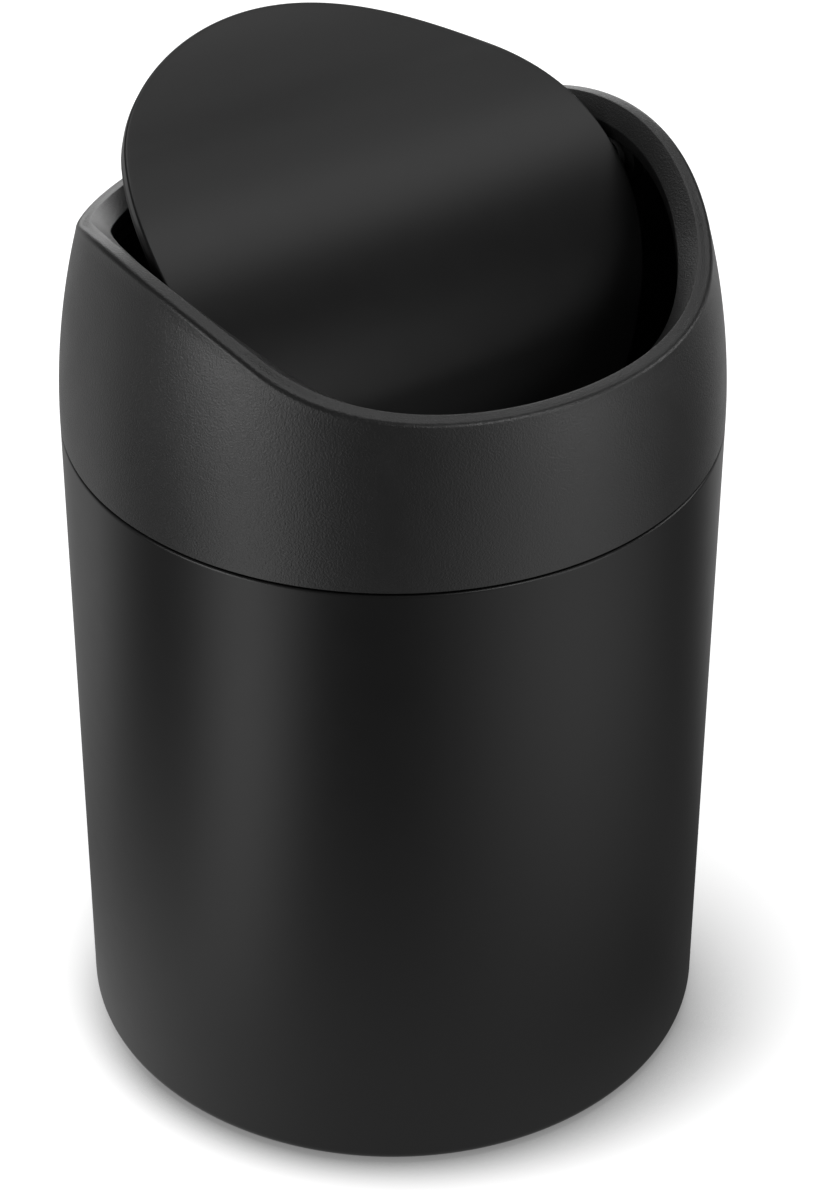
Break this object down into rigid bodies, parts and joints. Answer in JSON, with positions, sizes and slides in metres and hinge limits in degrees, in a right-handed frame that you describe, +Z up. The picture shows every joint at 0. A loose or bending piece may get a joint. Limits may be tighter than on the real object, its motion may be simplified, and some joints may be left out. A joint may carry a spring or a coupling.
{
  "type": "countertop trash can",
  "caption": "Small round countertop trash can with a barrel-shaped collar and a curved swing flap in a saddle-shaped mouth, shown swung open.",
  "frame": {"origin": "centre of the base on the plane it stands on, on the axis of the round can", "axes": "+Z up along the can's axis; X along the flap's pivot axis; -Y is the front, where the flap's lower edge dips into the can"},
  "size_m": [0.12, 0.12, 0.1902],
  "materials": {
    "black_paint": "satin",
    "zinc_steel": "satin",
    "soft_black": "matte",
    "black_plastic": "fine moulded grain",
    "bush_plastic": "smooth, self-lubricating",
    "pin_steel": "ground"
  },
  "bodies": {
    "can": {"can_shell": "black_paint", "base_plate": "zinc_steel", "foot_ring": "soft_black"},
    "lid": {"collar_shell": "black_plastic", "collar_liner": "black_plastic", "grip_band": "soft_black", "hinge_bush_left": "bush_plastic", "hinge_bush_right": "bush_plastic"},
    "flap": {"flap_skin": "black_paint", "flap_carrier": "black_plastic", "pivot_pin_left": "pin_steel", "pivot_pin_right": "pin_steel"}
  },
  "joints": [
    {"name": "lid_lift", "type": "slide", "parent": "can", "child": "lid", "axis": [0, 0, 1], "range_m": [0, 0.09]},
    {"name": "flap_swing", "type": "hinge", "parent": "lid", "child": "flap", "pos_m": [0, 0, 0.1677], "axis": [1, 0, 0], "range_deg": [-111, 39]}
  ]
}
